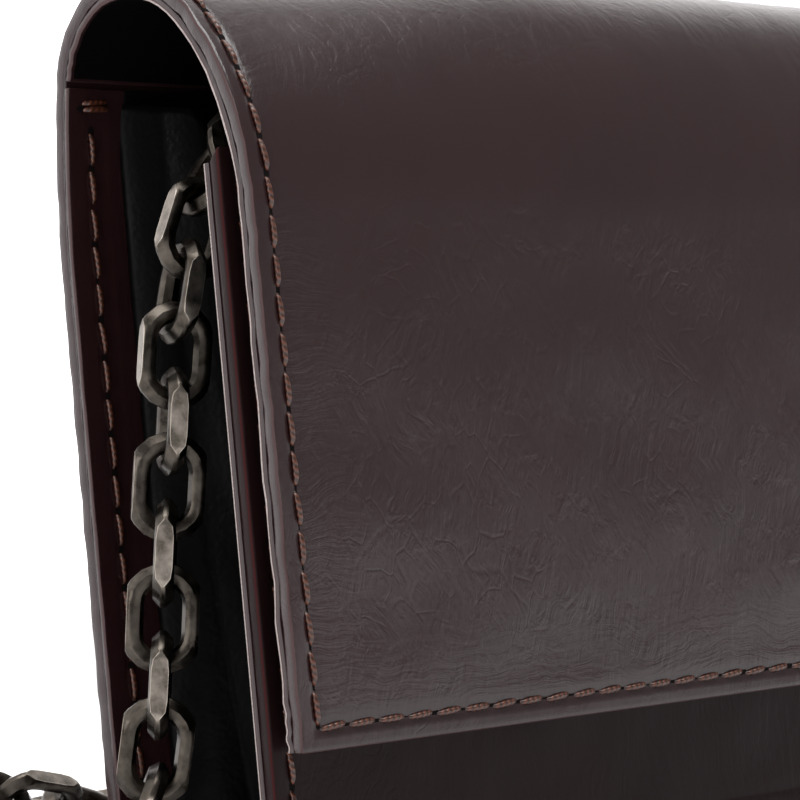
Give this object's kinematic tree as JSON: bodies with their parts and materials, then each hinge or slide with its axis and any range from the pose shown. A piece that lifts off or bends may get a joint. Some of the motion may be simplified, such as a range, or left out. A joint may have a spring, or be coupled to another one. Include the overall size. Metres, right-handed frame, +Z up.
{
  "type": "chain wallet",
  "caption": "Flap-over leather wallet with folded side gussets, zipped middle pocket, card slots, magnetic snap and a flat-sided metal carrying chain.",
  "frame": {"origin": "middle of the base on the surface the wallet stands on", "axes": "+X along the wallet's width to its right side, +Y from the flap's face to the back, +Z up"},
  "size_m": [0.2405, 0.1223, 0.115],
  "materials": {
    "oxblood_leather": "polished crinkled patent-like oxblood calf leather",
    "black_lining": "satin black lining leather",
    "black_gusset": "soft satin black nappa leather",
    "board": "pressed leather-fibre board",
    "gunmetal_chain": "antique gunmetal plating, tumbled",
    "gunmetal_hardware": "antique gunmetal plating",
    "zip_tape": "woven polyester tape"
  },
  "bodies": {
    "shell": {"back_leather": "oxblood_leather", "back_side_hems": "oxblood_leather", "base_leather": "oxblood_leather", "back_lining": "black_lining", "base_lining": "black_lining", "pocket_wall_front": "black_lining", "pocket_wall_rear": "black_lining", "pocket_edging": "black_lining", "card_slot_1": "black_lining", "card_slot_2": "black_lining", "card_slot_3": "black_lining", "card_slot_4": "black_lining", "gusset_left": "black_gusset", "gusset_right": "black_gusset", "ring_tab_left": "black_gusset", "ring_tab_right": "black_gusset", "back_board": "board", "base_board": "board", "chain_left_drop": "gunmetal_chain", "chain_right_drop": "gunmetal_chain", "chain_stored_1": "gunmetal_chain", "chain_stored_2": "gunmetal_chain", "chain_stored_3": "gunmetal_chain", "chain_stored_4": "gunmetal_chain", "chain_stored_5": "gunmetal_chain", "tab_rivets": "gunmetal_hardware", "zip_stops": "gunmetal_hardware", "zip_teeth_front": "gunmetal_hardware", "zip_teeth_rear": "gunmetal_hardware", "zip_tapes": "zip_tape"},
    "flap": {"flap_leather": "oxblood_leather", "flap_board": "board", "flap_lining": "black_lining", "snap_stud": "gunmetal_hardware"},
    "front": {"front_leather": "oxblood_leather", "front_board": "board", "front_lining": "black_lining", "slip_pocket": "black_lining", "snap_cup": "gunmetal_hardware", "snap_washer": "gunmetal_hardware"},
    "zip_slider": {"zip_slider": "gunmetal_hardware"},
    "zip_pull": {"zip_pull": "gunmetal_hardware"},
    "ring_left": {"ring_left": "gunmetal_hardware"},
    "ring_right": {"ring_right": "gunmetal_hardware"}
  },
  "joints": [
    {"name": "flap_hinge", "type": "hinge", "parent": "shell", "child": "flap", "pos_m": [0, 0.01785, 0.10387], "axis": [-1, 0, 0], "range_deg": [0, 180]},
    {"name": "front_opening", "type": "hinge", "parent": "shell", "child": "front", "pos_m": [0, -0.0127, 0.0015], "axis": [1, 0, 0], "range_deg": [0, 14], "deforming": ["gusset_left", "gusset_right"]},
    {"name": "slider_travel", "type": "slide", "parent": "shell", "child": "zip_slider", "axis": [1, 0, 0], "range_m": [0, 0.092]},
    {"name": "pull_hinge", "type": "hinge", "parent": "zip_slider", "child": "zip_pull", "pos_m": [-0.046, 0.001, 0.0969], "axis": [0, -1, 0], "range_deg": [0, 180]},
    {"name": "ring_left_swing", "type": "hinge", "parent": "shell", "child": "ring_left", "pos_m": [-0.069, 0.001, 0.1004], "axis": [0, 1, 0], "range_deg": [0, 8]},
    {"name": "ring_right_swing", "type": "hinge", "parent": "shell", "child": "ring_right", "pos_m": [0.069, 0.001, 0.1004], "axis": [0, -1, 0], "range_deg": [0, 8]}
  ],
  "couplings": [
    {"joint": "front_opening", "follows": "flap_hinge", "ratio": 0.0777}
  ]
}
